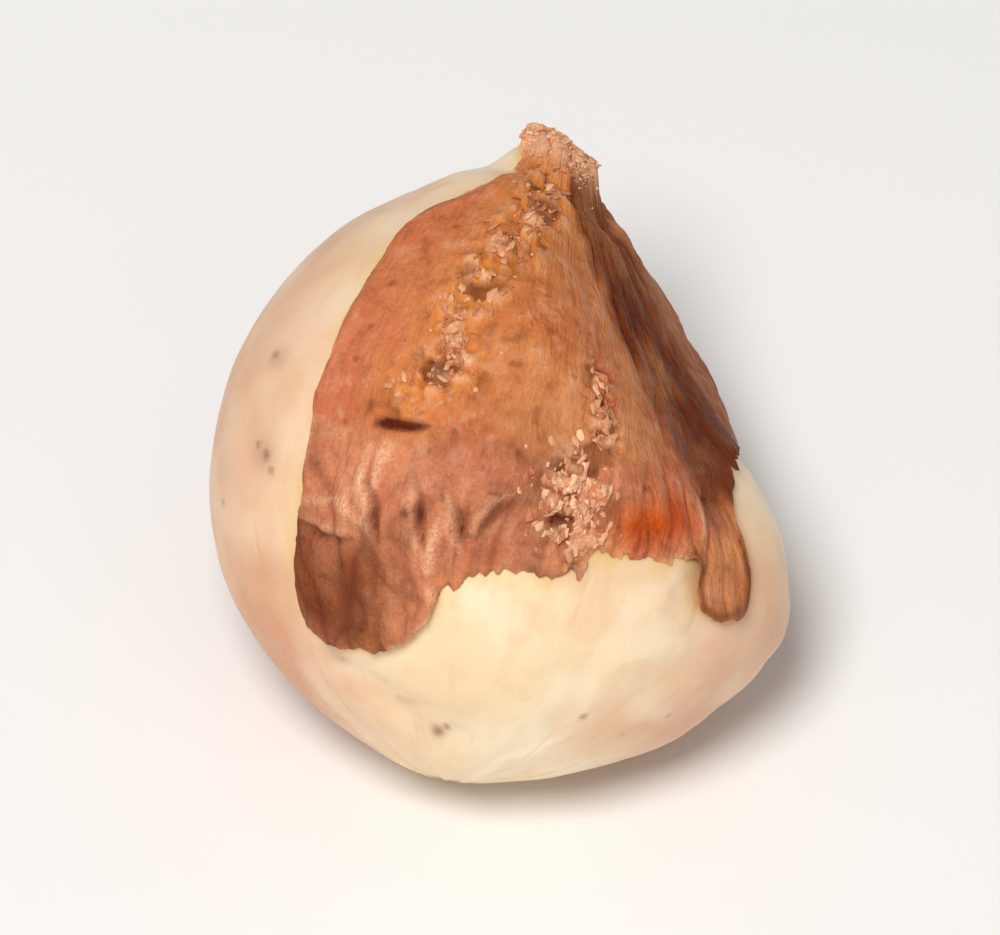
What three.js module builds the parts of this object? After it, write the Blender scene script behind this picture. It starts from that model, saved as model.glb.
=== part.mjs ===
// A shelled hazelnut kernel: a round seed with a blunt base, a short pointed tip, one flattened
// cheek and a low swelling beside it. It grew as one piece, so it is one closed solid.
// It lies leaning back on a small flat spot. Millimetres, +Z up; the origin is the middle of
// that flat spot, on the surface that the kernel rests on.

import * as THREE from "three";
import { mergeVertices } from "three/addons/utils/BufferGeometryUtils.js";

// Round body
const BODY_RADIUS = 6.98;
const BODY_DEPTH_RATIO = 0.97; // front to back, against side to side

// Pointed tip, above the body on its own axis
const TIP_HEIGHT = 1.55;
const TIP_SPREAD = THREE.MathUtils.degToRad(10.5);
const TIP_ROUNDING = THREE.MathUtils.degToRad(3);

// Flattened cheek beside the tip: a nearly flat face that shaves the body, with a soft edge
const CHEEK_TOWARD = new THREE.Vector3(0.78, -0.26, 0.58).normalize();
const CHEEK_DISTANCE = 4.7;
const CHEEK_FLATNESS = 0.9; // 1 is a plane, 0 is a sphere
const CHEEK_SOFTNESS = 0.65;

// Low swellings of the body: the way each one faces, its height, and how wide it spreads
const SWELLINGS = [
  { toward: new THREE.Vector3(0.86, -0.1, -0.5).normalize(), height: 0.48, spread: 26 },
  { toward: new THREE.Vector3(0.45, -0.1, -0.85).normalize(), height: 0.25, spread: 22 },
  { toward: new THREE.Vector3(-0.7, 0, -0.6).normalize(), height: 0.15, spread: 25 },
  { toward: new THREE.Vector3(-0.05, 0, -1).normalize(), height: 0.42, spread: 22 },
];
const HIP = { toward: new THREE.Vector3(0.98, -0.17, -0.04).normalize(), height: 0.95, spread: 21 };

// Shallow furrows that run from the base to the tip
const FURROW_COUNT = 7;
const FURROW_DEPTH = 0.045;

// How the kernel lies
const LEAN_BACK = THREE.MathUtils.degToRad(50);
const LEAN_SIDE = THREE.MathUtils.degToRad(10);
const REST_DEPTH = 6.5; // from the kernel's middle down to the flat spot

// Facets around the axis and from base to tip
const FACETS_AROUND = 72;
const FACETS_ALONG = 48;

const turn = new THREE.Euler(-LEAN_BACK, LEAN_SIDE, 0);
const down = new THREE.Vector3(0, 0, -1).applyEuler(new THREE.Euler(LEAN_BACK, 0, 0));
down.applyAxisAngle(new THREE.Vector3(0, 1, 0), -LEAN_SIDE);

// Radius of a sphere squeezed from front to back, seen from its middle along a unit direction.
function bodyRadius(direction) {
  const depth = direction.y / BODY_DEPTH_RATIO;
  return BODY_RADIUS / Math.hypot(direction.x, depth, direction.z);
}

// A bell-shaped swelling, highest where the direction meets the swelling's own.
function swelling(direction, { toward, height, spread }) {
  const away = 1 - direction.dot(toward);
  const width = 1 - Math.cos(THREE.MathUtils.degToRad(spread));
  return height * Math.exp(-away / width);
}

// The smaller of two radii, with the edge between them rounded over by the softness.
function softSmaller(a, b, softness) {
  return -softness * Math.log(Math.exp(-a / softness) + Math.exp(-b / softness));
}

// Height of the tip: it falls away from the axis like a cusp with a rounded point.
function tipHeight(direction) {
  const angle = Math.acos(THREE.MathUtils.clamp(direction.z, -1, 1));
  const rounded = Math.hypot(angle, TIP_ROUNDING) - TIP_ROUNDING;
  return TIP_HEIGHT * Math.exp(-rounded / TIP_SPREAD);
}

// Furrows are waves around the axis that die out at the base and the tip.
function furrow(direction) {
  const around = Math.atan2(direction.y, direction.x);
  const fade = 1 - direction.z * direction.z;
  return FURROW_DEPTH * fade * Math.cos(FURROW_COUNT * around);
}

// Distance from the kernel's middle to its surface along a unit direction.
function surfaceRadius(direction) {
  const swollen = SWELLINGS.reduce((sum, s) => sum + swelling(direction, s), bodyRadius(direction));
  const towardCheek = direction.dot(CHEEK_TOWARD);
  const shaved = towardCheek > 0
    ? softSmaller(swollen, CHEEK_DISTANCE / towardCheek ** CHEEK_FLATNESS, CHEEK_SOFTNESS)
    : swollen;
  const radius = shaved + swelling(direction, HIP) + tipHeight(direction) + furrow(direction);
  const towardGround = direction.dot(down);
  return towardGround > 0 ? Math.min(radius, REST_DEPTH / towardGround) : radius;
}

// A sphere's vertices, each pushed out along its own direction to the kernel's surface.
function kernelGeometry() {
  const sphere = new THREE.SphereGeometry(1, FACETS_AROUND, FACETS_ALONG);
  sphere.rotateX(Math.PI / 2);
  sphere.deleteAttribute("normal");
  sphere.deleteAttribute("uv");
  const geometry = mergeVertices(sphere, 1e-4);
  const position = geometry.attributes.position;
  const direction = new THREE.Vector3();
  for (let i = 0; i < position.count; i += 1) {
    direction.fromBufferAttribute(position, i).normalize();
    direction.multiplyScalar(surfaceRadius(direction));
    position.setXYZ(i, direction.x, direction.y, direction.z);
  }
  geometry.computeVertexNormals();
  return geometry;
}

function kernel() {
  const skin = new THREE.MeshStandardMaterial({ color: "#a8643f", roughness: 0.6, metalness: 0 });
  const mesh = new THREE.Mesh(kernelGeometry(), skin);
  mesh.name = "kernel";
  mesh.rotation.copy(turn);
  mesh.position.set(0, 0, REST_DEPTH);
  return mesh;
}

const hazelnut = new THREE.Group();
hazelnut.add(kernel());

export default hazelnut;
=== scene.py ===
# %% [markdown]
# # A half-peeled hazelnut kernel
# A shelled hazelnut is a round seed with a blunt base and a short pointed tip. A brown papery skin
# grows on its cream flesh. Here the skin has been rubbed off in places: one torn sheet is left on
# the face and another one on the back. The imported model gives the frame, and everything below is
# built around it. Shapes are worked out in millimetres and put into the meshes in metres.

# %% Load the frame
import bpy
import numpy as np
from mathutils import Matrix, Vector


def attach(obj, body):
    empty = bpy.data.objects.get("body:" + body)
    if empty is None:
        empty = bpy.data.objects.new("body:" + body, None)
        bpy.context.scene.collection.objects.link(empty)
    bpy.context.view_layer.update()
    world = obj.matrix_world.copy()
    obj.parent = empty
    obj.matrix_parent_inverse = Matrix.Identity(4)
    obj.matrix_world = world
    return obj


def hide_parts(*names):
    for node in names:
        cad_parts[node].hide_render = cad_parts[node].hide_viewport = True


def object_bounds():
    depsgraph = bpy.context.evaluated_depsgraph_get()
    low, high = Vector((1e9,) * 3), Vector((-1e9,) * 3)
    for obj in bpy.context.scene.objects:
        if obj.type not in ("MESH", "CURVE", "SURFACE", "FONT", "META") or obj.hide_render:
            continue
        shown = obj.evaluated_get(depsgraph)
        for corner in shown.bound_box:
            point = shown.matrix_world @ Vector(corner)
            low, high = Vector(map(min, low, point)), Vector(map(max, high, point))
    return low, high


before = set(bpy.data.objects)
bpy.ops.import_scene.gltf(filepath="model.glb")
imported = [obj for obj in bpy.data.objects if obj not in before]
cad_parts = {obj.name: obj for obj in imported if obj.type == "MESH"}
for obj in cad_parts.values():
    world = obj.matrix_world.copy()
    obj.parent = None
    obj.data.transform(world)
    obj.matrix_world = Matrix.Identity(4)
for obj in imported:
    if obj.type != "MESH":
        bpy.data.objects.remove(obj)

CAD_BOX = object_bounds()
MM = 0.001
print("frame box, mm:", np.round(np.array(CAD_BOX) / MM, 2).tolist())

# %% [markdown]
# ## The body
# The kernel is a surface seen from its own middle: for each unit direction a radius says how far
# out the surface lies. It could be sculpted, but a formula gives every piece the same body, so
# that the skin lies on the flesh with nothing to fit. The kernel's own axes are +X to its right,
# +Z to its tip, and -Y out of its face. It lies leaning back and a little to its side.

# %% Driving dimensions, millimetres and degrees
BODY_RADIUS = 6.98
BODY_DEPTH_RATIO = 0.97
TIP_HEIGHT, TIP_SPREAD, TIP_ROUNDING = 1.55, 10.5, 3.0
CHEEK_TOWARD = (0.78, -0.26, 0.58)
CHEEK_DISTANCE, CHEEK_FLATNESS, CHEEK_SOFTNESS = 4.7, 0.9, 0.65
SWELLINGS = [  # the way each one faces, its height in mm, and how many degrees it spreads
    ((0.86, -0.1, -0.5), 0.48, 26),
    ((0.45, -0.1, -0.85), 0.25, 22),
    ((-0.7, 0, -0.6), 0.15, 25),
    ((-0.05, 0, -1), 0.42, 22),
]
HIP = ((0.98, -0.17, -0.04), 0.95, 21)
FURROW_COUNT, FURROW_DEPTH = 7, 0.045
LEAN_BACK, LEAN_SIDE = np.radians(50), np.radians(10)
REST_DEPTH = 6.5  # from the kernel's middle down to the floor
print(f"round body {2 * BODY_RADIUS} mm wide, tip {TIP_HEIGHT} mm above it")


# %% Directions and turns
def unit(v):
    """Each vector divided by its own length."""
    v = np.asarray(v, float)
    return v / np.linalg.norm(v, axis=-1, keepdims=True)


def turn_x(angle):
    """The matrix that turns about X by an angle."""
    c, s = np.cos(angle), np.sin(angle)
    return np.array([[1, 0, 0], [0, c, -s], [0, s, c]])


def turn_y(angle):
    """The matrix that turns about Y by an angle."""
    c, s = np.cos(angle), np.sin(angle)
    return np.array([[c, 0, s], [0, 1, 0], [-s, 0, c]])


LIE = turn_x(-LEAN_BACK) @ turn_y(LEAN_SIDE)
DOWN = LIE.T @ np.array([0, 0, -1.0])
print("on the floor the tip points along", np.round(LIE @ [0, 0, 1], 2))


# %% The radius of the body
def swelling(d, toward, height, spread):
    """A bell: height times e to the minus (1 - cosine of the angle away) / (1 - cosine of the spread)."""
    away = 1 - d @ unit(toward)
    return height * np.exp(-away / (1 - np.cos(np.radians(spread))))


def soft_smaller(a, b, softness):
    """The smaller of two radii with a rounded edge: minus softness times log of both exponentials added."""
    return -softness * np.log(np.exp(-a / softness) + np.exp(-b / softness))


def from_tip(d):
    """Degrees between each direction and the tip."""
    return np.degrees(np.arccos(np.clip(d[:, 2], -1, 1)))


def body_radius(d):
    """A squeezed sphere and swellings, shaved by the cheek, plus the hip, the tip's cusp and furrows."""
    x, y, z = d[:, 0], d[:, 1], d[:, 2]
    r = BODY_RADIUS / np.sqrt(x**2 + (y / BODY_DEPTH_RATIO) ** 2 + z**2)
    r = r + sum(swelling(d, *s) for s in SWELLINGS)
    to_cheek = np.clip(d @ unit(CHEEK_TOWARD), 1e-3, 1)
    r = soft_smaller(r, CHEEK_DISTANCE / to_cheek**CHEEK_FLATNESS, CHEEK_SOFTNESS)
    r = r + swelling(d, *HIP)
    off_tip = np.hypot(from_tip(d), TIP_ROUNDING) - TIP_ROUNDING
    r = r + TIP_HEIGHT * np.exp(-off_tip / TIP_SPREAD)
    return r + FURROW_DEPTH * (1 - z**2) * np.cos(FURROW_COUNT * np.arctan2(y, x))


def lay(points):
    """Points in the kernel's own mm, turned the way it lies and raised onto the floor, in metres."""
    return (points @ LIE.T + [0, 0, REST_DEPTH]) * MM


def place(d, r, lift=0.0):
    """The point at radius r along each direction, flattened `lift` mm above the floor where it rests."""
    ground = np.clip(d @ DOWN, 1e-6, None)
    r = np.minimum(r, (REST_DEPTH - lift) / ground)
    return lay(d * r[:, None])


probe = unit(np.random.default_rng(1).normal(size=(20000, 3)))
span = place(probe, body_radius(probe))
print("formula box, mm:", np.round(span.min(0) / MM, 2), np.round(span.max(0) / MM, 2))

# %% [markdown]
# ## Natural unevenness
# Skin, flesh and torn edges are never regular. A texture could move the surface, but then no other
# piece could know where the surface went. So one lattice noise, made here from whole arrays, serves
# them all: it gives every point in space a smooth value between -1 and 1. The last number of each
# call is a seed: another seed gives another pattern, and the same one always gives the same pattern.

# %% Noise
def lattice_value(cell, seed):
    """A fixed random number from -1 to 1 for each cell corner: its three numbers times primes, mixed."""
    x, y, z = np.moveaxis(cell.astype(np.int64).astype(np.uint64), -1, 0)
    mix = x * np.uint64(73856093) ^ y * np.uint64(19349663) ^ z * np.uint64(83492791)
    mix = mix ^ np.uint64(seed * 2654435761)
    mix = (mix ^ (mix >> np.uint64(15))) * np.uint64(2246822519)
    mix = (mix ^ (mix >> np.uint64(13))) * np.uint64(3266489917)
    mix = mix ^ (mix >> np.uint64(16))
    return (mix & np.uint64(0xFFFFFF)).astype(float) / 0x7FFFFF - 1


def noise(p, seed):
    """The eight corner values around each point, blended by 6t^5 - 15t^4 + 10t^3 along each axis."""
    low = np.floor(p)
    t = p - low
    t = t * t * t * (t * (6 * t - 15) + 10)
    total = np.zeros(len(p))
    for corner in np.ndindex(2, 2, 2):
        weight = np.prod(np.where(corner, t, 1 - t), axis=1)
        total += weight * lattice_value(low + corner, seed)
    return total


def spots(d, size, seed):
    """Noise whose blotches are about `size` mm wide."""
    return noise(d * BODY_RADIUS / size, seed)


def layered(d, size, seed, octaves=3):
    """Noise added to itself at twice the fineness and half the height, a few times."""
    return sum(spots(d, size / 2.0**k, seed + k) / 2.0**k for k in range(octaves))


def grain_place(d, across, along):
    """Noise place with cells `across` mm wide round the kernel and `along` mm long from base to tip."""
    flat = np.hypot(d[:, 0], d[:, 1]) + 1e-9
    ring = d[:, :2] / flat[:, None] * BODY_RADIUS / across
    return np.column_stack([ring, np.radians(from_tip(d)) * BODY_RADIUS / along])


def fibre_place(d):
    """Grain place for a material's fibres, in mm: three times as long as wide, swaying sideways."""
    sway = 0.35 * np.stack([spots(d, 1.6, 211 + k) for k in (0, 1, 2)], axis=1)
    return grain_place(d, 1.0, 3.0) + sway


def smooth_step(low, high, x):
    """0 below low, 1 above high, and an S-shaped rise between them."""
    t = np.clip((x - low) / (high - low), 0, 1)
    return t * t * (3 - 2 * t)


sample = spots(probe, 1.0, 0)
print(f"noise runs from {sample.min():.2f} to {sample.max():.2f}")

# %% [markdown]
# ## A map of the kernel
# The edge of torn skin, the strand and the scurf all run along the surface, so they are drawn on a
# map of it. Longitude and latitude would bunch up at the tip, so places are named in degrees away
# from the middle of the face instead: how far to the right, and how far towards the tip. The same
# kind of map, centred on the back, names places there.

# %% Maps of the face and the back
DEGREE = np.radians(1) * BODY_RADIUS  # one degree on the kernel, in mm


def chart(d, back=False):
    """Angle away from the map's centre, split between right and tipward as the direction itself is."""
    away = np.degrees(np.arccos(np.clip(d[:, 1] if back else -d[:, 1], -1, 1)))
    flat = np.hypot(d[:, 0], d[:, 2]) + 1e-9
    return np.stack([d[:, 0], d[:, 2]], axis=1) * (away / flat)[:, None]


def from_chart(q):
    """The face's chart read backwards: the unit direction of each place."""
    away = np.hypot(q[:, 0], q[:, 1]) + 1e-9
    flat = np.sin(np.radians(away)) / away
    return np.stack([q[:, 0] * flat, -np.cos(np.radians(away)), q[:, 1] * flat], axis=1)


def wander(d):
    """Strays of a drawn line, in map degrees: noise of 1.1 mm and of 0.4 mm for each map axis."""
    return np.stack([1.3 * spots(d, 1.1, 201 + k) + 0.5 * spots(d, 0.4, 205 + k) for k in (0, 1)], axis=1)


there_and_back = np.abs(from_chart(chart(probe)) - probe).max()
print(f"one degree is {DEGREE:.3f} mm; read there and back the map is off by {there_and_back:.0e}")


# %% Distances on a map
def closed_curve(points, steps=8):
    """A smooth loop through points: each stretch is the Catmull-Rom cubic of its four nearest points."""
    p = np.asarray(points, float)
    a, b, c, e = (np.roll(p, shift, axis=0)[:, None] for shift in (1, 0, -1, -2))
    t = np.linspace(0, 1, steps, endpoint=False)[None, :, None]
    curve = b + 0.5 * t * (c - a + t * (2 * a - 5 * b + 4 * c - e + t * (3 * (b - c) + e - a)))
    return curve.reshape(-1, 2)


def path_distance(q, path):
    """Distance to a path's nearest stretch, positive on its left, and how far along that is, 0 to 1."""
    path = np.asarray(path, float)
    nearest, along = np.full(len(q), 1e9), np.zeros(len(q))
    for k, (start, end) in enumerate(zip(path[:-1], path[1:])):
        run, offset = end - start, q - start
        t = np.clip(offset @ run / (run @ run + 1e-12), 0, 1)
        distance = np.hypot(*(offset - t[:, None] * run).T)
        left = np.where(run[0] * offset[:, 1] > run[1] * offset[:, 0], 1, -1)
        closer = distance < np.abs(nearest)
        along = np.where(closer, (k + t) / (len(path) - 1), along)
        nearest = np.where(closer, left * distance, nearest)
    return nearest, along


def inside_distance(q, loop):
    """Distance to a loop, positive inside, where a line to the right crosses it an odd number of times."""
    closed = np.vstack([loop, loop[:1]])
    distance = np.abs(path_distance(q, closed)[0])
    inside = np.zeros(len(q), bool)
    for (x0, y0), (x1, y1) in zip(closed[:-1], closed[1:]):
        crosses = (y0 > q[:, 1]) != (y1 > q[:, 1])
        slope = (x1 - x0) / (y1 - y0 if y1 != y0 else 1e-9)
        inside ^= crosses & (q[:, 0] < x0 + (q[:, 1] - y0) * slope)
    return np.where(inside, distance, -distance)


def near(q, path, width):
    """1 on a path, falling like a bell to nothing a few widths (mm) away."""
    return np.exp(-((path_distance(q, path)[0] * DEGREE / width) ** 2))


def fold_line(q, path, width):
    """A valley along a path and a ridge on its left, 0 to 1: bells across it, narrower at both ends."""
    side, along = path_distance(q, path)
    ends = np.clip(4 * along * (1 - along), 0, 1) ** 0.8
    across = side * DEGREE / (width * (0.12 + 0.88 * ends))
    return ends * np.exp(-(across**2)), ends * np.exp(-(((across - 1.8) / 1.3) ** 2))


square = np.array([(0, 0), (2, 0), (2, 2), (0, 2)], float)
print("the middle of a square 2 wide is inside by", inside_distance(np.array([[1.0, 1.0]]), square)[0])


# %% Where the skin is left
FLAP = closed_curve([  # right and tipward on the face's map, in degrees
    (-10, 84), (-13, 73), (-24, 63), (-35, 45), (-40, 31), (-41, 16), (-42, -3), (-43, -20), (-42, -35),
    (-38, -43), (-29, -46), (-17, -39), (-9, -28), (-1, -21), (9, -20), (17, -18), (21, -13), (32, -14),
    (41, -12), (45, -12), (44, -17), (47, -22), (54, -24), (61, -20), (63, -12), (62, -3), (64, 5),
    (70, 13), (79, 20), (100, 27), (112, 36), (108, 62), (88, 86), (60, 100), (30, 108), (8, 107),
    (-5, 101), (-11, 93),
])
BACK = closed_curve([  # the same on the back's map
    (50, 12), (38, 22), (30, 33), (22, 45), (6, 58), (-12, 66), (-35, 60), (-55, 45), (-68, 20),
    (-70, -10), (-60, -35), (-40, -55), (-10, -66), (20, -68), (45, -55), (58, -32), (56, -8),
])


def torn(d, ragged):
    """How a torn edge strays from its outline, mm: slow noise, plus fibres and crumbs if it is ragged."""
    fibres = 0.20 * noise(grain_place(d, 0.34, 1.3), 13) + 0.13 * noise(grain_place(d, 0.15, 0.5), 14)
    return 0.20 * spots(d, 1.8, 11) + ragged * (fibres + 0.07 * spots(d, 0.14, 15))


def flap_cover(d):
    """Millimetres inside the face skin's edge, negative where bare. Its left and its tongue are clean."""
    q = chart(d)
    tongue = smooth_step(38, 46, q[:, 0]) * smooth_step(74, 66, q[:, 0])
    ragged = 0.35 + 0.65 * smooth_step(-16, 0, q[:, 0]) * (1 - tongue)
    return inside_distance(q, FLAP) * DEGREE + torn(d, ragged)


def back_cover(d):
    """Millimetres inside the edge of the back's skin, negative where it is bare."""
    return inside_distance(chart(d, back=True), BACK) * DEGREE + 1.5 * torn(d, 0.9)


for sheet, cover_of in (("face", flap_cover), ("back", back_cover)):
    print(f"the {sheet}'s skin covers {np.mean(cover_of(probe) > 0):.0%} of the kernel")


# %% [markdown]
# ## Meshes from whole arrays
# Every sheet of the kernel's outside is a grid of directions, rows from base to tip and columns
# around. Torn skin could be a whole sheet that a mask makes see-through, but then it would have no
# edge to catch the light. So the grid is cut off where the skin is torn: triangles that the edge
# crosses are clipped along it, and the edge stays crisp however coarse the grid is.

# %% Grid of directions
def direction_grid(rows, columns):
    """Base pole, rows at even angles, tip pole; triangles join each row's points to the next row's."""
    polar = np.pi * (1 - np.arange(1, rows) / rows)
    around = 2 * np.pi * np.arange(columns) / columns
    t, a = np.meshgrid(polar, around, indexing="ij")
    ring = np.stack([np.sin(t) * np.cos(a), np.sin(t) * np.sin(a), np.cos(t)], axis=-1)
    d = np.vstack([[[0, 0, -1.0]], ring.reshape(-1, 3), [[0, 0, 1.0]]])
    index = 1 + np.arange((rows - 1) * columns).reshape(rows - 1, columns)
    right = np.roll(index, -1, axis=1)
    low, low_right, high, high_right = index[:-1], right[:-1], index[1:], right[1:]
    odd = (np.add.outer(np.arange(rows - 2), np.arange(columns)) % 2 == 1)[..., None]
    lower, flat = np.stack([low, low_right, high], -1), np.stack([low, low_right, high_right], -1)
    first = np.where(odd, lower, flat)
    upper, steep = np.stack([low_right, high_right, high], -1), np.stack([low, high_right, high], -1)
    second = np.where(odd, upper, steep)
    base = np.stack([np.zeros(columns, int), right[0], index[0]], -1)
    tip = np.stack([index[-1], right[-1], np.full(columns, len(d) - 1)], -1)
    return d, np.vstack([base, first.reshape(-1, 3), second.reshape(-1, 3), tip])


def clip(d, triangles, cover):
    """Keep the covered part of a grid, with a new direction where cover is zero along a triangle's side.

    Returns the kept directions, their triangles, and the pairs of points that make the torn rim.
    """
    inside = cover > 0
    count = inside[triangles].sum(axis=1)
    cut = triangles[(count == 1) | (count == 2)]
    lone = inside[cut] == (inside[cut].sum(axis=1) == 1)[:, None]
    turn = (np.argmax(lone, axis=1)[:, None] + np.arange(3)) % 3
    a, b, c = np.take_along_axis(cut, turn, axis=1).T
    sides = np.sort(np.vstack([np.stack([a, b], 1), np.stack([a, c], 1)]), axis=1)
    sides, which = np.unique(sides, axis=0, return_inverse=True)
    which = which.reshape(-1)
    i, j = sides.T
    t = cover[i] / (cover[i] - cover[j])
    new = unit(d[i] + (d[j] - d[i]) * np.clip(t, 0.02, 0.98)[:, None])
    ab, ac = len(d) + which[: len(a)], len(d) + which[len(a):]
    alone = inside[a]
    kept = np.vstack([
        triangles[count == 3],
        np.stack([a, ab, ac], 1)[alone],
        np.stack([ab, b, c], 1)[~alone],
        np.stack([ab, c, ac], 1)[~alone],
    ])
    rim = np.vstack([np.stack([ab, ac], 1)[alone], np.stack([ac, ab], 1)[~alone]])
    used, compact = np.unique(np.concatenate([kept.ravel(), rim.ravel()]), return_inverse=True)
    compact = compact.reshape(-1)
    everything = np.vstack([d, new])
    return everything[used], compact[: kept.size].reshape(-1, 3), compact[kept.size:].reshape(-1, 2)


print("a grid of 4 rows and 6 columns has", len(direction_grid(4, 6)[1]), "triangles")


# %% From arrays to a piece
def mesh_object(name, points, triangles, material, sharp=60, **values):
    """Points and triangles made a mesh that rides on the body, each named value kept as its attribute."""
    mesh = bpy.data.meshes.new(name)
    mesh.vertices.add(len(points))
    mesh.vertices.foreach_set("co", np.ascontiguousarray(points, np.float32).ravel())
    mesh.loops.add(triangles.size)
    mesh.loops.foreach_set("vertex_index", np.ascontiguousarray(triangles, np.int32).ravel())
    mesh.polygons.add(len(triangles))
    mesh.polygons.foreach_set("loop_start", np.arange(0, triangles.size, 3, dtype=np.int32))
    mesh.update(calc_edges=True)
    mesh.validate()
    for key, value in values.items():
        kind = "FLOAT_VECTOR" if value.ndim == 2 else "FLOAT"
        field = "vector" if value.ndim == 2 else "value"
        layer = mesh.attributes.new(key, kind, "POINT")
        layer.data.foreach_set(field, np.ascontiguousarray(value, np.float32).ravel())
    mesh.shade_smooth()
    mesh.set_sharp_from_angle(angle=np.radians(sharp))
    mesh.materials.append(material)
    piece = bpy.data.objects.new(name, mesh)
    bpy.context.scene.collection.objects.link(piece)
    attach(piece, "root")
    print(f"{name}: {len(points)} points, {len(triangles)} triangles")
    return piece


# %% [markdown]
# ## Materials
# Colours are named by what is seen on the real thing, as a screen shows them, and one function turns
# them into the linear values that light is worked out with. One more function adds a node. Each
# pattern is a noise with its width in millimetres, laid on the piece's own place or along its grain,
# and each colour is laid over the one below in coats, as a painter would.

# %% Colour and node helpers
def linear(hex_colour):
    """Screen value s becomes s/12.92 when dark, else ((s + 0.055) / 1.055) to the power 2.4."""
    s = np.array([int(hex_colour[i:i + 2], 16) for i in (1, 3, 5)]) / 255
    return (*np.where(s <= 0.04045, s / 12.92, ((s + 0.055) / 1.055) ** 2.4).tolist(), 1.0)


def add(tree, kind, links=None, output=0, **settings):
    """Add a node and give back one output. Links fill its inputs with values or other nodes' outputs."""
    node = tree.nodes.new(kind)
    for name, value in settings.items():
        setattr(node, name, value)
    for socket, value in (links or {}).items():
        if isinstance(value, bpy.types.NodeSocket):
            tree.links.new(value, node.inputs[socket])
        else:
            node.inputs[socket].default_value = value
    return node.outputs[output]


def new_material(name, uniform):
    """A material with one Principled shader, whose uniform settings are values on its own sockets."""
    material = bpy.data.materials.new(name)
    material.use_nodes = True
    tree = material.node_tree
    tree.nodes.clear()
    shader = tree.nodes.new("ShaderNodeBsdfPrincipled")
    result = tree.nodes.new("ShaderNodeOutputMaterial")
    tree.links.new(shader.outputs["BSDF"], result.inputs["Surface"])
    for socket, value in uniform.items():
        shader.inputs[socket].default_value = value
    return material, tree, shader


def own_place(tree):
    """The piece's own place, in millimetres."""
    place = add(tree, "ShaderNodeTexCoord", output="Object")
    return add(tree, "ShaderNodeVectorMath", {0: place, 3: 1 / MM}, operation="SCALE")


def coats(tree, colour, rows):
    """Lay coats over a colour. A row is an amount, the range of it that fades the coat in smoothly
    (none if the amount is ready from 0 to 1), the most that it covers, its colour, and how it is laid.
    """
    for amount, fade, most, above, way in rows:
        if fade:
            links = {"Value": amount, "From Min": fade[0], "From Max": fade[1], "To Max": most}
            amount = add(tree, "ShaderNodeMapRange", links, interpolation_type="SMOOTHSTEP")
        links = {0: amount, 6: colour, 7: linear(above)}
        colour = add(tree, "ShaderNodeMix", links, output=2, data_type="RGBA", blend_type=way)
    return colour


def finish(material, shader, colour, roughness, height, depth_mm, strength):
    """Link a colour, a roughness and a fine relief that is depth_mm deep to a material's shader."""
    tree = material.node_tree
    links = {"Height": height, "Strength": strength, "Distance": depth_mm * MM}
    tree.links.new(colour, shader.inputs["Base Color"])
    tree.links.new(roughness, shader.inputs["Roughness"])
    tree.links.new(add(tree, "ShaderNodeBump", links, output="Normal"), shader.inputs["Normal"])
    print(f"{material.name}: {len(tree.nodes)} nodes, fine relief {depth_mm} mm deep")
    return material


print("the skin's brown in linear light:", np.round(linear("#bf673d")[:3], 3))
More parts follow.
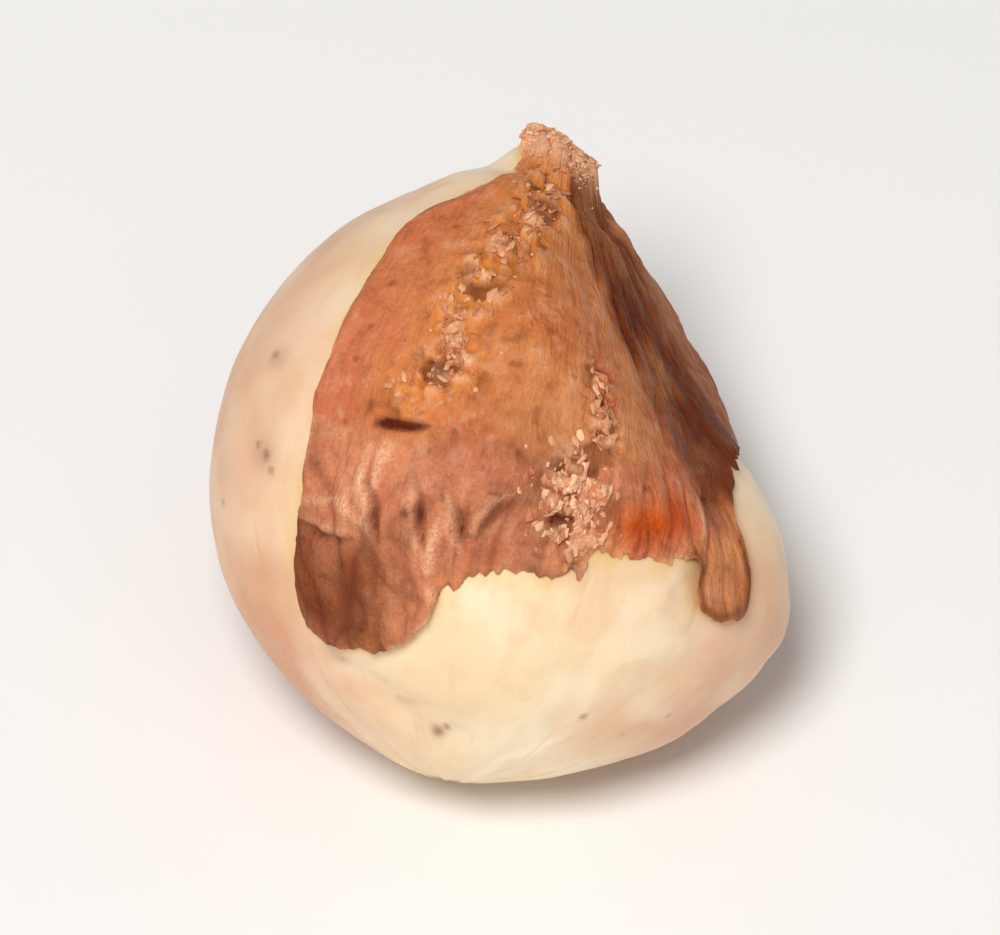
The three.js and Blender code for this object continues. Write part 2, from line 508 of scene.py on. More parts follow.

# %% [markdown]
# The skin is the nut's own papery coat, brown with tannin. It dried on the nut into fine fibres that
# run from base to tip, and was worn by handling: dull and dusty where it is rough, a low satin
# shine and a redder brown where it is drawn tight. One noise could colour it, but its spots would
# have no cause. So the colour follows the relief itself: painted shade darkens the creases, the slit
# and the fold valleys, and the high spots are pale where worn and brighter by a painted highlight.
# Real fibres are about 0.05 mm wide, too fine to show here, so they are drawn 0.13 mm wide.
# Its reflection starts from the usual 0.5 and goes down to 0.1, because dust scatters the light.

# %% Papery skin
def papery_skin():
    """Coats over one brown: wide tones, clouds, fibres, worn spots and painted highlights, dust, then
    painted shade.
    """
    material, tree, shader = new_material("papery brown nut skin", {
        "Specular IOR Level": 0.1, "Subsurface Weight": 0.06, "Subsurface Radius": (1.0, 0.35, 0.15),
        "Subsurface Scale": 0.3 * MM,
    })
    place = own_place(tree)
    grain = add(tree, "ShaderNodeAttribute", output="Vector", attribute_name="grain")
    kept = {name: add(tree, "ShaderNodeAttribute", output="Fac", attribute_name=name)
            for name in ("salmon", "golden", "worn", "painted_shade_and_dark_patches", "flank_shade_and_dark_patches", "ruddy", "crease")}
    broad, cloudy, fibre, dust, folds = (
        add(tree, "ShaderNodeTexNoise",
            {"Vector": where, "Scale": 1 / width_mm, "Detail": detail, "Roughness": harshness})
        for where, width_mm, detail, harshness in [
            (place, 1.8, 2.0, 0.55), (place, 0.55, 3.0, 0.6), (grain, 0.13, 3.0, 0.6),
            (place, 0.08, 2.0, 0.7), (grain, 0.34, 2.0, 0.55),
        ]
    )
    crinkle = add(tree, "ShaderNodeMath", {0: folds, 1: 0.5}, operation="SUBTRACT")
    crinkle = add(tree, "ShaderNodeMath", {0: crinkle}, operation="ABSOLUTE")
    links = {"Value": dust, "From Min": 0.35, "From Max": 0.6, "To Min": 0.45, "To Max": 1.0}
    tint_and_painted_light = add(tree, "ShaderNodeMapRange", links, interpolation_type="SMOOTHSTEP")
    tint_and_painted_light = add(tree, "ShaderNodeMath", {0: kept["worn"], 1: tint_and_painted_light}, operation="MULTIPLY")
    brown = coats(tree, linear("#bf673d"), [
        (broad, (0.38, 0.62), 1.0, "#d38550", "MIX"),
        (kept["salmon"], None, 1.0, "#ca6d4d", "MIX"),
        (kept["golden"], None, 1.0, "#dc8640", "MIX"),
        (cloudy, (0.50, 0.72), 0.5, "#e0a178", "MIX"),
        (cloudy, (0.48, 0.30), 0.45, "#8d4d2c", "MIX"),
        (fibre, (0.46, 0.28), 0.22, "#8a4a2d", "MIX"),
        # painted shade: a darker line along each fine crinkle valley of the relief
        (crinkle, (0.04, 0.0), 0.15, "#7c4125", "MIX"),
        # pale worn spots, and painted highlights on fold ridges, the arc, beads and the tip
        (tint_and_painted_light, None, 1.0, "#f2b990", "MIX"),
        (dust, (0.56, 0.75), 0.25, "#eaae84", "MIX"),
        # painted shade in the low left corner, under the step and along the tongue's rim; darker patches on
        # the back
        (kept["painted_shade_and_dark_patches"], None, 1.0, "#a38c73", "MULTIPLY"),
        # painted shade on the right flank; darker patches on the back
        (kept["flank_shade_and_dark_patches"], None, 1.0, "#8a6a4c", "MULTIPLY"),
        (kept["ruddy"], None, 1.0, "#f0a250", "MULTIPLY"),
        # painted shade in the creases, slit, fold valleys, pits and along torn edges, and a few dark specks
        (kept["crease"], None, 1.0, "#561c08", "MIX"),
    ])
    links = {"Value": cloudy, "From Min": 0.3, "From Max": 0.7, "To Min": 0.62, "To Max": 0.45}
    satin = add(tree, "ShaderNodeMapRange", links, interpolation_type="SMOOTHSTEP")
    satin = add(tree, "ShaderNodeMath", {0: kept["ruddy"], 1: -0.14, 2: satin}, operation="MULTIPLY_ADD")
    height = add(tree, "ShaderNodeMath", {0: fibre, 1: 0.4}, operation="MULTIPLY")
    for pattern, weight in [(crinkle, 1.6), (cloudy, 0.9), (dust, 0.4)]:
        height = add(tree, "ShaderNodeMath", {0: pattern, 1: weight, 2: height}, operation="MULTIPLY_ADD")
    return finish(material, shader, brown, satin, height, 0.09, 0.8)


SKIN_MATERIAL = papery_skin()

# %% [markdown]
# Scurf and tip fibres are the same skin, flaked off and gone dry. One tan for all would look like
# sand, but handling has bleached each crumb differently, so each has its own shade between tan and
# pale pink, kept on its mesh. None of it shines, and its thin edges let a little light through.

# %% Dry scurf
def dry_scurf():
    """Coats over one tan: each crumb's own pale shade, then mottling 0.16 mm wide."""
    material, tree, shader = new_material("dry flaked nut skin", {
        "Subsurface Weight": 0.1, "Subsurface Radius": (1.0, 0.5, 0.25), "Subsurface Scale": 0.2 * MM,
    })
    links = {"Vector": own_place(tree), "Scale": 1 / 0.16, "Detail": 3.0, "Roughness": 0.6}
    mottle = add(tree, "ShaderNodeTexNoise", links)
    pale = add(tree, "ShaderNodeAttribute", output="Fac", attribute_name="pale")
    tan = coats(tree, linear("#c06c3a"), [
        (pale, None, 1.0, "#fac49a", "MIX"),
        (mottle, (0.5, 0.3), 0.5, "#9c5a34", "MIX"),
    ])
    links = {"Value": mottle, "From Min": 0.3, "From Max": 0.7, "To Min": 0.75, "To Max": 0.6}
    dull = add(tree, "ShaderNodeMapRange", links, interpolation_type="SMOOTHSTEP")
    return finish(material, shader, tan, dull, mottle, 0.04, 0.6)


SCURF_MATERIAL = dry_scurf()

# %% [markdown]
# The flesh is oily seed leaf, cream coloured, smooth where the skin has come away. A plain cream
# would look like plastic: real flesh is a little see-through, so light spreads under its surface and
# its shadows stay warm. It yellows beside torn skin, has faint pink clouds, gets a warm painted shade
# towards the left, the low left and the low right, and has a few brown specks. Its reflection stays
# at the usual 0.5, and it is glossier than the skin.

# %% Cream flesh
def cream_flesh():
    """Coats over one cream: noises 3 to 0.7 mm wide, then pink and painted shade, vein prints, yellow and
    stains.
    """
    material, tree, shader = new_material("cream nut flesh", {
        "Specular IOR Level": 0.5, "Subsurface Weight": 0.35, "Subsurface Radius": (1.0, 0.6, 0.35),
        "Subsurface Scale": 0.6 * MM,
    })
    place = own_place(tree)
    grain = add(tree, "ShaderNodeAttribute", output="Vector", attribute_name="grain")
    kept = {name: add(tree, "ShaderNodeAttribute", output="Fac", attribute_name=name)
            for name in ("blush", "groove", "yellow", "stain")}
    broad, cloudy, streak, fine = (
        add(tree, "ShaderNodeTexNoise",
            {"Vector": where, "Scale": 1 / width_mm, "Detail": detail, "Roughness": harshness})
        for where, width_mm, detail, harshness in [
            (place, 3.0, 2.0, 0.55), (place, 0.8, 3.0, 0.55),
            (grain, 0.7, 2.0, 0.55), (place, 0.11, 3.0, 0.6),
        ]
    )
    cream = coats(tree, linear("#f8d9ae"), [
        (broad, (0.35, 0.65), 1.0, "#fde7c5", "MIX"),
        (cloudy, (0.52, 0.72), 0.4, "#efc99b", "MIX"),
        (streak, (0.54, 0.70), 0.25, "#e9c08c", "MIX"),
        # pink clouds, and painted warm shade towards the left, the low left and the low right
        (kept["blush"], None, 1.0, "#dd9f78", "MIX"),
        (kept["groove"], None, 1.0, "#dca877", "MIX"),
        (kept["yellow"], None, 1.0, "#e8bd6a", "MIX"),
        (kept["stain"], None, 1.0, "#8c5431", "MIX"),
    ])
    links = {"Value": cloudy, "From Min": 0.3, "From Max": 0.7, "To Min": 0.36, "To Max": 0.5}
    oily = add(tree, "ShaderNodeMapRange", links, interpolation_type="SMOOTHSTEP")
    return finish(material, shader, cream, oily, fine, 0.035, 0.4)


FLESH_MATERIAL = cream_flesh()

# %% [markdown]
# ## Flesh
# The flesh is two seed leaves grown tight together, and shows as one round body a skin's thickness
# down, with faint ribs from base to tip, a shallow dent low on the left and a tip worn blunt. A
# sphere with a displacing texture could do it, but the skin and the crumbs need to know where the
# flesh is. So its radius is a function too, and every point is worked out at once.

# %% Wear on the flesh
SKIN_THICKNESS = 0.15  # mm
TIP_WEAR = 0.55  # mm worn off the point
GROOVE_DEPTH, DENT_DEPTH = 0.03, 0.12
DENT = [(-32, -48), (-16, -57), (-2, -64)]


def crumple(d, across, along, seed, bend=0.7):
    """Size of bent noise: 0 in sharp valleys where it crosses zero, 1 on the round ridges between."""
    sway = bend * np.stack([spots(d, 2.2, seed + k) for k in (1, 2, 3)], axis=1)
    return np.clip(1.7 * np.abs(noise(grain_place(d, across, along) + sway, seed)), 0, 1) ** 0.8


def to_right(d):
    """From -1 on the left of the tip's axis to 1 on its right."""
    return d[:, 0] / (np.hypot(d[:, 0], d[:, 1]) + 1e-9)


def blunt(d):
    """Millimetres worn off the tip: a bell at its point, and a neck 12.5 degrees off, deepest at right."""
    neck = (0.27 + 0.1 * to_right(d)) * np.exp(-(((from_tip(d) - 12.5) / 4) ** 2))
    return TIP_WEAR * np.exp(-((from_tip(d) / 5) ** 2)) + neck


def grooves(d):
    """Prints of the skin's veins, 0 to 1: the valleys of long folds, in patches."""
    valleys = smooth_step(0.16, 0.0, crumple(d, 1.5, 10.0, 33, 0.25))
    return valleys * smooth_step(-0.2, 0.5, spots(d, 2.6, 35))


def flesh_radius(d):
    """The body less skin and worn tip, plus lumps 2.4 mm and ribs 1.2 mm wide, less grooves and dent."""
    lumps = 0.05 * layered(d, 2.4, 31)
    ribs = 0.055 * noise(grain_place(d, 1.2, 8.0) + 0.3 * wander(d)[:, :1], 37)
    ribs *= smooth_step(0.3, -0.4, d[:, 2])
    hollows = DENT_DEPTH * near(chart(d), DENT, 0.8) + GROOVE_DEPTH * grooves(d)
    return body_radius(d) - SKIN_THICKNESS - blunt(d) + lumps + ribs - hollows


lost = body_radius(probe) - flesh_radius(probe)
print(f"the flesh lies {lost.min():.2f} to {lost.max():.2f} mm under the body")

# %% Flesh surface
SPECKS = [  # place on the face's map in degrees, radius in mm, darkness
    (28, -52, 0.13, 0.7), (50, -51, 0.10, 0.5), (-5, -64, 0.22, 0.8), (-3, -62, 0.13, 0.7),
    (-54, -5, 0.19, 0.85), (-57, -3, 0.13, 0.8), (-52, -8, 0.13, 0.7), (-58, 18, 0.17, 0.75),
    (-55, -5, 0.45, 0.38), (-57, 17, 0.38, 0.32),
    (-55, 16, 0.09, 0.5), (-69, -20, 0.11, 0.6), (-30, -50, 0.12, 0.5), (40, -58, 0.08, 0.4),
]


def specks(q):
    """Small bells of stain, each with its own place, radius and darkness."""
    bells = [dark * np.exp(-(((q[:, 0] - x) ** 2 + (q[:, 1] - y) ** 2) * (DEGREE / size) ** 2))
             for x, y, size, dark in SPECKS]
    return np.max(bells, axis=0)


def blushes(d):
    """Pink, 0 to 1: faint clouds, and painted warm shade in smooth steps to the left, low left and low
    right.
    """
    right, tipward = (chart(d) + 4 * wander(d)).T
    tint_and_painted_light = 0.7 * smooth_step(-18, -62, right)
    tint_and_painted_light += 0.6 * smooth_step(5, -45, right) * smooth_step(-25, -65, tipward)
    tint_and_painted_light += 0.8 * smooth_step(26, 62, right) * smooth_step(10, -28, tipward)
    tint_and_painted_light *= smooth_step(140, 70, np.hypot(right, tipward)) * (0.9 + 0.25 * spots(d, 1.2, 45))
    return np.clip(0.3 * smooth_step(0.0, 0.9, layered(d, 3.2, 43)) + tint_and_painted_light, 0, 1)


def flesh(rows=230, columns=400):
    """A closed grid all round, with yellowing beside torn skin, pink and painted shade, and stains kept on
    it.
    """
    d, triangles = direction_grid(rows, columns)
    q = chart(d)
    cover = np.maximum(flap_cover(d), back_cover(d))
    cloud = 0.5 + 0.5 * spots(d, 0.7, 41)
    yellow = smooth_step(-0.55, 0.0, cover) * (0.25 + 0.75 * cloud)
    smear = 0.4 * near(q + wander(d), DENT, 0.45) * smooth_step(0.4, 0.9, cloud)
    base = 0.6 * smooth_step(174, 178, from_tip(d))
    stain = np.clip(np.max([smear, specks(q + 0.5 * wander(d)), base], axis=0), 0, 1)
    points = place(d, flesh_radius(d), 0.02)
    return mesh_object("flesh", points, triangles, FLESH_MATERIAL, yellow=np.clip(0.75 * yellow, 0, 1),
                       blush=blushes(d), stain=stain, groove=0.35 * grooves(d), grain=fibre_place(d))


FLESH = flesh()

# %% [markdown]
# ## Skin
# A sheet of skin follows the flesh and dries like paper: sharp valleys with round ridges between
# them, drawn out from base to tip. Over that lie the beaded strand of the seed's old stalk, a patch
# of scurf and a slit, and the sheet thins and lifts a little where it is torn. A cloth simulation
# would fold it anywhere, so the folds are noise whose places are the same each time, and the marks
# are lines drawn on the map. Each value that shapes the relief also tints it: painted shade in the
# valleys, creases and slit, and painted highlights on the ridges. The right flank, the low left
# corner and the tongue's rim get painted shade too.

# %% Lines on the face, in map degrees
STRAND = [(-1, 80), (-3, 66), (-9, 46), (-15, 30), (-13, 21), (-21, 12)]
SCURF = [(17, 26), (19, 14), (17, 4)]
SCURF_HEAP = [(14, 2), (15, -5), (17, -12)]
SLIT = [(-29, 5), (-22, 6), (-14, 7)]
STEP = [(-15, 5), (0, 4), (12, 5)]
CREASES = [
    [(-5, -15), (-1, -9), (4, -3)], [(-22, -21), (-25, -12), (-28, -2)],
    [(-13, -19), (-15, -11), (-17, -3)], [(-4, -17), (-7, -10), (-10, -3)],
    [(-44, -17), (-37, -21), (-27, -19)],
]
ARC = [(-45, -13), (-34, -12), (-26, -17)]
RUDDY_SPOT = [(29, -6), (40, -3)]
LOW_CORNER = [(-42, -24), (-37, -36), (-27, -38), (-27, -27)]
STEP_SHADE = [(5, 8), (3, 0), (0, -13)]
THIN_PATCH = [(61, -1), (61, -7)]
TIP = [(-7, 86), (-3, 92), (4, 91), (7, 84)]

# Depths and heights of the relief, mm
SLIT_DEPTH, SLIT_LIP = 0.24, 0.07
STEP_DEPTH, STEP_RIDGE = 0.03, 0.06
CREASE_DEPTH, CREASE_RIDGE = 0.12, 0.10
ARC_HEIGHT = 0.09
BEAD_HEIGHT, PIT_DEPTH = 0.34, 0.16
KNOB_HEIGHT = 0.28
print("slit length, mm:", round(float(np.linalg.norm(np.subtract(SLIT[-1], SLIT[0]))) * DEGREE, 1))


# %% Paper folds and the stub of the stalk
def paper(d, strength, seed):
    """Folds of three sizes in mm, and how far each place is a valley or a ridge, from 0 to 1."""
    long_folds, short_folds, fine_folds = (
        crumple(d, across, along, seed + 10 * k)
        for k, (across, along) in enumerate([(0.85, 4.0), (0.42, 1.4), (0.22, 0.5)])
    )
    relief = 0.13 * (long_folds - 0.5) + 0.07 * (short_folds - 0.5) + 0.025 * (fine_folds - 0.5)
    valley = np.maximum(smooth_step(0.30, 0.0, long_folds), 0.6 * smooth_step(0.25, 0.0, short_folds))
    ridge = smooth_step(0.55, 1.0, long_folds) * smooth_step(0.4, 0.9, short_folds)
    return strength * relief, strength * valley, strength * ridge


def knob(d):
    """The stub of the stalk, mm: a bell round the tip at 5 degrees, highest on its left."""
    left = smooth_step(0.8, -0.4, to_right(d))
    return KNOB_HEIGHT * (0.35 + 0.65 * left) * np.exp(-(((from_tip(d) - 5) / 3) ** 2))


def thinned(d, cover, seed):
    """Where a torn edge is thin enough to look golden, 0 to 1: a bell 0.28 mm wide, in patches."""
    return np.exp(-((cover / 0.28) ** 2)) * smooth_step(-0.1, 0.5, spots(d, 1.3, seed))


folded = paper(probe, 1.0, 61)[0]
print(f"paper folds run from {folded.min():.2f} to {folded.max():.2f} mm")


# %% The face's relief and tones
def face_relief(d, cover):
    """Relief of the face's skin in mm, and its tones from 0 to 1: the named lines over paper folds."""
    q = chart(d)
    drawn = q + wander(d)
    right, tipward = q.T
    low = smooth_step(9, 0, tipward)
    plain = smooth_step(-6, -20, right) * (1 - low)
    around = np.degrees(np.arctan2(d[:, 0], -d[:, 1])) + 2.5 * spots(d, 0.9, 59)
    flank = smooth_step(-5, 5, around - 8 - 0.5 * from_tip(d))
    tip = smooth_step(11, 6, from_tip(d))
    tongue = smooth_step(38, 46, right) * smooth_step(-3, -9, tipward)
    thin_patch = near(drawn, THIN_PATCH, 0.55)

    folds, valley, ridge = paper(d, np.clip(0.30 + 0.78 * low - 0.10 * plain + 0.45 * flank, 0, 1.1), 61)
    slit, slit_lip = fold_line(q + 0.4 * wander(d), SLIT, 0.17)
    step, step_ridge = fold_line(drawn, STEP, 0.24)
    lines = [fold_line(drawn, line, 0.14) for line in CREASES]
    crease, crease_ridge = (np.max(part, axis=0) for part in zip(*lines))
    arc = near(drawn, ARC, 0.16)
    relief = 0.05 * layered(d, 2.6, 71) + folds + ARC_HEIGHT * arc
    relief += SLIT_LIP * slit_lip - SLIT_DEPTH * slit + STEP_RIDGE * step_ridge - STEP_DEPTH * step
    relief += CREASE_RIDGE * crease_ridge - CREASE_DEPTH * crease

    beads = np.abs(spots(d, 0.40, 52)) ** 0.7
    pits = smooth_step(-0.15, -0.5, spots(d, 0.42, 54))
    scurf = near(drawn, SCURF, 0.45) + near(drawn, SCURF_HEAP, 0.8)
    rough = np.clip(near(drawn, STRAND, 0.7) + scurf + tip, 0, 1)
    relief += rough * (BEAD_HEIGHT * (beads - 0.35) - PIT_DEPTH * pits) + knob(d)

    dots = smooth_step(-0.72, -0.86, spots(d, 0.26, 57))
    thin = thinned(d, cover, 58) + thin_patch
    tongue_edge = tongue * np.exp(-(((cover - 0.12) / 0.16) ** 2))
    # painted shade on the right flank, which is turned away from the light, fading round the back and off
    # at the tip
    deep = flank * (0.9 + 0.3 * spots(d, 1.4, 60)) * (1 - 0.5 * smooth_step(84, 120, around)) * (1 - tip)
    tones = {
        # crease: painted shade in the slit, creases, fold valleys, under the step and in pits, and a few
        # dark specks
        "crease": smooth_step(0.1, 0.8, slit) + 0.55 * smooth_step(0.1, 1.0, crease) + 0.4 * valley
        + 0.1 * step + pits * (0.75 * rough - 0.2 * scurf) + 0.35 * dots,
        # worn: pale worn beads and tip, painted highlights on fold ridges, crease ridges and the arc, and a
        # painted lighter low band
        "worn": rough * smooth_step(0.35, 0.9, beads) + 0.45 * arc + 0.5 * crease_ridge + 0.6 * ridge
        + tip + 0.2 * low,
        "salmon": 0.8 * smooth_step(-4, -20, right) * smooth_step(0, 12, tipward) + 0.6 * low,
        "golden": 0.9 * near(drawn, STRAND, 1.1) * (1 - tip) + 0.2 * smooth_step(12, 40, tipward)
        + 0.6 * thin + 0.5 * tongue,
        # painted shade in the low left corner, under the step and along the tongue's rim
        "painted_shade_and_dark_patches": near(q, LOW_CORNER, 1.2) + 0.3 * near(q, STEP_SHADE, 1.1) + 0.9 * tongue_edge,
        "ruddy": near(drawn, RUDDY_SPOT, 0.7),
        "flank_shade_and_dark_patches": deep * (1 - 0.7 * tongue) * (1 - 0.8 * thin_patch),
    }
    return relief, tones


relief = face_relief(probe, flap_cover(probe))[0]
print(f"the face's relief runs from {relief.min():.2f} to {relief.max():.2f} mm")


# %% The back's relief and tones
def back_relief(d, cover):
    """Relief of the back's skin in mm: folds deeper than the face's, in patches; tones from 0 to 1."""
    patch = spots(d, 3.6, 93)
    folds, valley, ridge = paper(d, 0.95 + 0.25 * patch, 81)
    beads = np.abs(spots(d, 0.36, 94)) ** 0.7
    rough = smooth_step(0.15, 0.6, spots(d, 2.0, 95))
    relief = 0.07 * layered(d, 2.2, 91) + folds + 0.16 * rough * (beads - 0.35)
    tones = {
        # crease: painted shade in the fold valleys
        "crease": 0.6 * valley,
        # worn: painted highlights on the fold ridges, and pale worn beads
        "worn": 0.35 * ridge + 0.7 * rough * smooth_step(0.35, 0.9, beads),
        "salmon": 0.6 * smooth_step(0.0, 0.7, patch),
        "golden": 0.6 * smooth_step(0.1, 0.7, spots(d, 3.0, 96)) + 0.6 * thinned(d, cover, 99),
        "painted_shade_and_dark_patches": 0.7 * smooth_step(0.0, -0.7, patch),
        "ruddy": 0.5 * smooth_step(0.2, 0.7, spots(d, 2.6, 97)),
        "flank_shade_and_dark_patches": 0.5 * smooth_step(0.1, 0.8, spots(d, 3.1, 98)),
    }
    return relief, tones


relief = back_relief(probe, back_cover(probe))[0]
print(f"the back's relief runs from {relief.min():.2f} to {relief.max():.2f} mm")


# %% Sheets of skin
LIFT = 0.24  # mm that a loose edge stands off the flesh
EDGE_THICKNESS = 0.4  # of the full thickness, at the torn edge
THINNEST = 0.04  # mm, so that no crease cuts through the sheet


def skin(name, cover_of, relief_of, rows, columns, seed):
    """Clip a grid to its cover, lay an outer and an inner face along it, join them round the torn rim."""
    d, triangles = direction_grid(rows, columns)
    d, triangles, rim = clip(d, triangles, cover_of(d))
    cover = np.clip(cover_of(d), 0, None)
    relief, tones = relief_of(d, cover)
    loose = smooth_step(-0.1, 0.6, spots(d, 1.8, seed)) * smooth_step(9, 15, from_tip(d))
    inner = flesh_radius(d) - 0.02 + LIFT * loose * np.exp(-((cover / 0.4) ** 2))
    thickness = SKIN_THICKNESS * (EDGE_THICKNESS + (1 - EDGE_THICKNESS) * smooth_step(0, 0.35, cover))
    outer = np.maximum(inner + thickness + relief * smooth_step(0, 0.25, cover), inner + THINNEST)
    points = np.vstack([place(d, outer), place(d, inner, 0.01)])
    p, q = rim.T
    n = len(d)
    wall = np.vstack([np.stack([q, p, p + n], 1), np.stack([q, p + n, q + n], 1)])
    faces = np.vstack([triangles, triangles[:, ::-1] + n, wall])
    frayed = np.exp(-((cover / 0.09) ** 2))
    fibrous = spots(d, 0.9, seed + 1)
    tones["worn"] = tones["worn"] + 0.5 * frayed * smooth_step(-0.2, 0.5, fibrous)
    # painted shadow along the torn edge in places
    tones["crease"] = tones["crease"] + 0.3 * frayed * smooth_step(0.1, -0.5, fibrous)
    values = {key: np.tile(np.clip(value, 0, 1), 2) for key, value in tones.items()}
    return mesh_object(name, points, faces, SKIN_MATERIAL, grain=np.tile(fibre_place(d), (2, 1)), **values)


FACE_SKIN = skin("face_skin", flap_cover, face_relief, 300, 520, 101)
BACK_SKIN = skin("back_skin", back_cover, back_relief, 270, 470, 103)


# %% [markdown]
# ## Scurf and tip fibres
# Dry skin sheds crumbs, and the stalk's torn fibres lie over the stub at the tip. A bump could draw
# the crumbs, but real ones throw small shadows. So each is a low dome of 32 triangles on an uneven
# outline, strewn along the strand, the scurf and the tip, all of them in one mesh. A hair system
# could make the fibres, but as tapered tubes they are plain meshes.

# %% Crumbs
def strew(path, count, stray, seed):
    """Places along a path: an even chance of each, plus a normal stray in mm."""
    rng = np.random.default_rng(seed)
    path = np.asarray(path, float)
    t = rng.uniform(0, len(path) - 1, count)
    k = t.astype(int)
    on_path = path[k] + (path[k + 1] - path[k]) * (t - k)[:, None]
    return on_path + rng.normal(size=(count, 2)) * stray / DEGREE


def surface_frame(d, spin):
    """Two directions square to each d, across the grain and along it, both turned about d by a spin."""
    across = unit(np.cross([0, 0, 1.0], d))
    along = np.cross(d, across)
    c, s = np.cos(spin)[:, None], np.sin(spin)[:, None]
    return c * across + s * along, c * along - s * across


def repeated(one, count, points_each):
    """The triangles of one small shape, once for each of its copies."""
    return (one[None] + (np.arange(count) * points_each)[:, None, None]).reshape(-1, 3)


def crumbs(name, d, relief, pale, seed, corners=8):
    """Each crumb is a peak, a half-way ring and a rim, closed below: mostly 0.1 to 0.4 mm long."""
    rng = np.random.default_rng(seed)
    n = len(d)
    size = (0.045 + 0.10 * rng.random(n) ** 1.5)[:, None, None]
    height = size * rng.uniform(0.1, 0.45, (n, 1, 1))
    up = unit(d + 0.24 * rng.normal(size=(n, 3)))
    across, along = (way[:, None] for way in surface_frame(up, rng.normal(size=n) * 0.5))
    angle = 2 * np.pi * np.arange(corners)[None, :, None] / corners
    reach = size * (0.5 + 0.8 * rng.random((n, corners, 1)))
    spread = np.cos(angle) * across * 0.8 + np.sin(angle) * along * 1.4
    centre = (d * (flesh_radius(d) + SKIN_THICKNESS + relief - 0.02)[:, None])[:, None]
    rise = up[:, None]
    rim = centre + spread * reach
    ring = centre + spread * reach * 0.6 + rise * height * 0.75
    points = np.concatenate([centre + rise * height, centre - rise * 0.05, ring, rim], axis=1)
    j = np.arange(corners)
    k = (j + 1) % corners
    a, b, c, e = 2 + j, 2 + k, 2 + corners + j, 2 + corners + k
    peak = np.zeros(corners, int)
    one = np.vstack([np.stack(t, 1) for t in ((peak, a, b), (a, c, e), (a, e, b), (peak + 1, e, c))])
    shade = np.repeat(np.clip(pale + 0.25 * rng.normal(size=n), 0, 1), points.shape[1])
    faces = repeated(one, n, points.shape[1])
    return mesh_object(name, lay(points.reshape(-1, 3)), faces, SCURF_MATERIAL, sharp=75, pale=shade)


# %% Where the crumbs lie
def keep_covered(d, cover_of):
    """Only the directions that lie more than 0.15 mm inside a sheet of skin."""
    return d[cover_of(d) > 0.15]


CLEAR_OF_FLOOR = 0.8  # how far a direction may point down, so that no crumb lies under the kernel
ON_FACE = keep_covered(from_chart(np.vstack([
    strew(STRAND, 270, 0.38, 301), strew(SCURF, 110, 0.22, 302), strew(SCURF_HEAP, 330, 0.46, 303),
    strew(TIP, 360, 0.40, 304),
])), flap_cover)
ON_BACK = keep_covered(unit(np.random.default_rng(308).normal(size=(4200, 3))), back_cover)
ON_BACK = ON_BACK[(spots(ON_BACK, 2.0, 95) > 0.25) & (ON_BACK @ DOWN < CLEAR_OF_FLOOR)]
print(f"{len(ON_FACE)} crumbs on the face and {len(ON_BACK)} on the back")

FACE_PALE = 0.22 + 0.35 * near(chart(ON_FACE), SCURF_HEAP, 1.2)
# the crumbs on the tip are made paler, partly as a painted highlight on the knob
FACE_PALE += 0.9 * smooth_step(12, 5, from_tip(ON_FACE))
FACE_BED = face_relief(ON_FACE, flap_cover(ON_FACE))[0]
BACK_BED = back_relief(ON_BACK, back_cover(ON_BACK))[0]
FACE_SCURF = crumbs("face_scurf", ON_FACE, FACE_BED, FACE_PALE, 305)
BACK_SCURF = crumbs("back_scurf", ON_BACK, BACK_BED, 0.4, 306)


# %% Tip fibres
def tubes(path, width, outward, sides=5):
    """Rings round each path: centre + width (cos a + sin b), a and b square to it; its ends are points."""
    n, steps = path.shape[:2]
    run = unit(np.gradient(path, axis=1))
    a = unit(np.cross(run, outward))
    b = np.cross(run, a)
    angle = (2 * np.pi * np.arange(sides) / sides)[:, None]
    round_path = np.cos(angle) * a[:, :, None] + np.sin(angle) * b[:, :, None]
    ring = path[:, :, None] + width[:, :, None, None] * round_path
    points = np.concatenate([ring.reshape(n, -1, 3), path[:, :1], path[:, -1:]], axis=1)
    j = np.arange(sides)
    k = (j + 1) % sides
    step = sides * np.arange(steps - 1)[:, None]
    quads = [np.stack(np.broadcast_arrays(step + j, step + k, step + sides + k), -1),
             np.stack(np.broadcast_arrays(step + j, step + sides + k, step + sides + j), -1)]
    last = sides * (steps - 1)
    start = np.stack([np.full(sides, last + sides), k, j], -1)
    end = np.stack([np.full(sides, last + sides + 1), last + j, last + k], -1)
    return points, np.vstack([q.reshape(-1, 3) for q in quads] + [start, end])


def tip_fibres(count, steps=6, seed=311):
    """Fibres climb from 4 to 8 degrees off the tip to near it, turn a little, and lift by way squared."""
    rng = np.random.default_rng(seed)
    t = np.linspace(0, 1, steps)[None]
    polar = np.radians(rng.uniform(4, 8, (count, 1)) * (1 - t) + rng.uniform(0.5, 4, (count, 1)) * t)
    around = rng.uniform(0, 2 * np.pi, (count, 1)) + rng.normal(size=(count, 1)) * 0.6 * t
    d = np.stack([np.sin(polar) * np.cos(around), np.sin(polar) * np.sin(around), np.cos(polar)], -1)
    flat = d.reshape(-1, 3)
    radius = (body_radius(flat) - blunt(flat) + knob(flat)).reshape(count, steps)
    lift = rng.uniform(-0.08, 0.03, (count, 1)) + rng.uniform(0.0, 0.10, (count, 1)) * t**2
    width = rng.uniform(0.02, 0.055, (count, 1)) * (1 - 0.6 * t)
    points, one = tubes(d * (radius + lift)[..., None], width, d)
    pale = np.repeat(rng.uniform(0.5, 1.0, count), points.shape[1])
    faces = repeated(one, count, points.shape[1])
    return mesh_object("tip_fibres", lay(points.reshape(-1, 3)), faces, SCURF_MATERIAL, pale=pale)


TIP_FIBRES = tip_fibres(80)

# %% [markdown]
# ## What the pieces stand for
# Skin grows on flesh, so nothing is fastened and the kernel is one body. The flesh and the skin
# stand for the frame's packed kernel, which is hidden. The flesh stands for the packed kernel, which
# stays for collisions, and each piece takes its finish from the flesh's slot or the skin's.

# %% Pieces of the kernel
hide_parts("kernel")

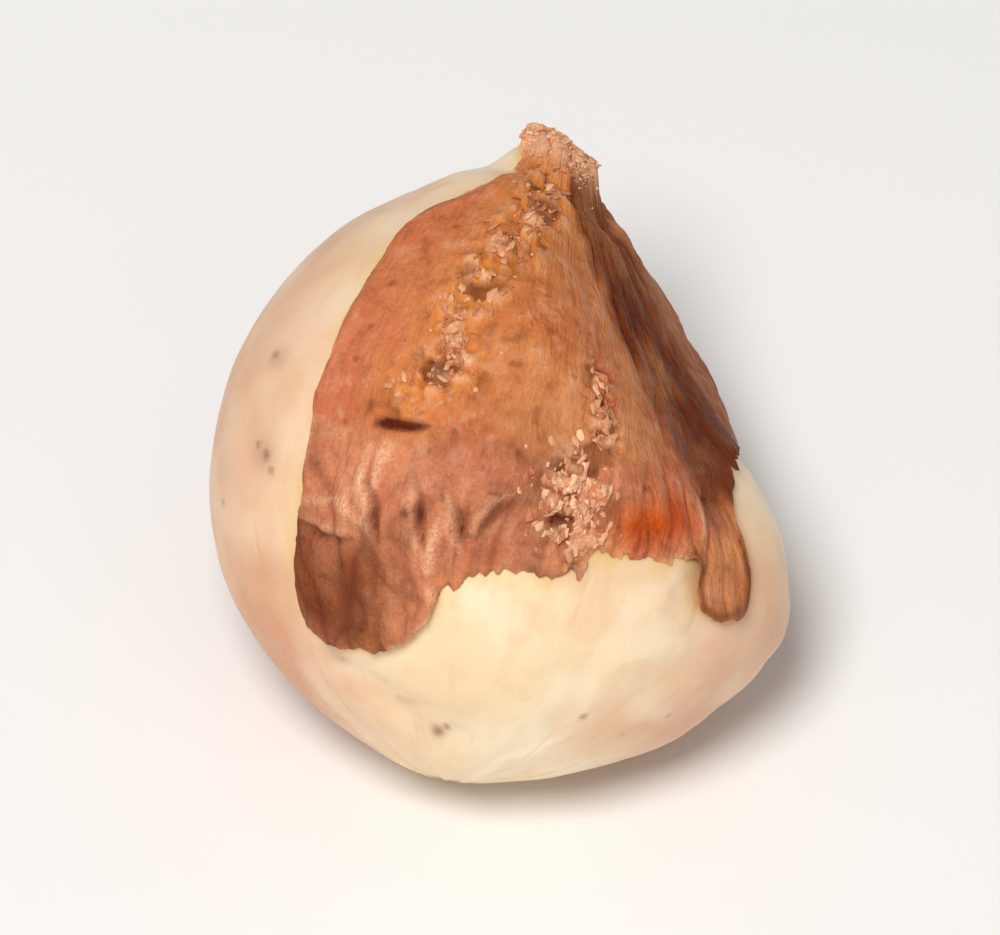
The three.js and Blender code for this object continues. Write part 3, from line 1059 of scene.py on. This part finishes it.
# %% [markdown]
# ## Floor, light and camera
# The kernel lies on a plain pale floor under one soft light from high in front and to the left, with
# even white air all round. Several lamps would give several shadows, and one is enough to show the
# folds. The camera looks down at it at 50 degrees through a long lens, so that it is seen almost
# without perspective.

# %% Floor
FLOOR_HALF = 0.6
floor_mesh = bpy.data.meshes.new("floor")
corners = [(x * FLOOR_HALF, y * FLOOR_HALF, 0) for x, y in ((-1, -1), (1, -1), (1, 1), (-1, 1))]
floor_mesh.from_pydata(corners, [], [(0, 1, 2, 3)])
floor_mesh.materials.append(
    new_material("matt pale board", {"Base Color": linear("#f1efec"), "Roughness": 0.9})[0])
floor = bpy.data.objects.new("floor", floor_mesh)
bpy.context.scene.collection.objects.link(floor)
print("floor, mm wide:", 2 * FLOOR_HALF / MM)

# %% Light
MIDDLE = np.mean(CAD_BOX, axis=0)
KEY_PLACE = (-0.04, -0.12, 0.24)
key = bpy.data.lights.new("key", "AREA")
key.shape = "DISK"
key.size = 0.09
key.energy = 0.58
lamp = bpy.data.objects.new("key", key)
bpy.context.scene.collection.objects.link(lamp)
lamp.location = KEY_PLACE
lamp.rotation_euler = Vector(MIDDLE - KEY_PLACE).to_track_quat("-Z", "Y").to_euler()
print("light to kernel, mm:", round(float(np.linalg.norm(MIDDLE - KEY_PLACE)) / MM))

world = bpy.data.worlds.new("studio air")
world.use_nodes = True
world.node_tree.nodes["Background"].inputs["Color"].default_value = linear("#ffffff")
world.node_tree.nodes["Background"].inputs["Strength"].default_value = 0.36
bpy.context.scene.world = world
bpy.context.scene.view_settings.view_transform = "Standard"

# %% Camera
VIEW_DOWN = np.radians(50)
VIEW_DISTANCE = 0.26
lens = bpy.data.cameras.new("camera")
lens.lens = 400
lens.clip_start = 0.01
camera = bpy.data.objects.new("camera", lens)
bpy.context.scene.collection.objects.link(camera)
back = np.array([0, -np.cos(VIEW_DOWN), np.sin(VIEW_DOWN)])
camera.location = MIDDLE + back * VIEW_DISTANCE
camera.rotation_euler = Vector(-back).to_track_quat("-Z", "Y").to_euler()
bpy.context.scene.camera = camera
print("picture width at the kernel, mm:", round(lens.sensor_width * VIEW_DISTANCE / lens.lens / MM, 1))
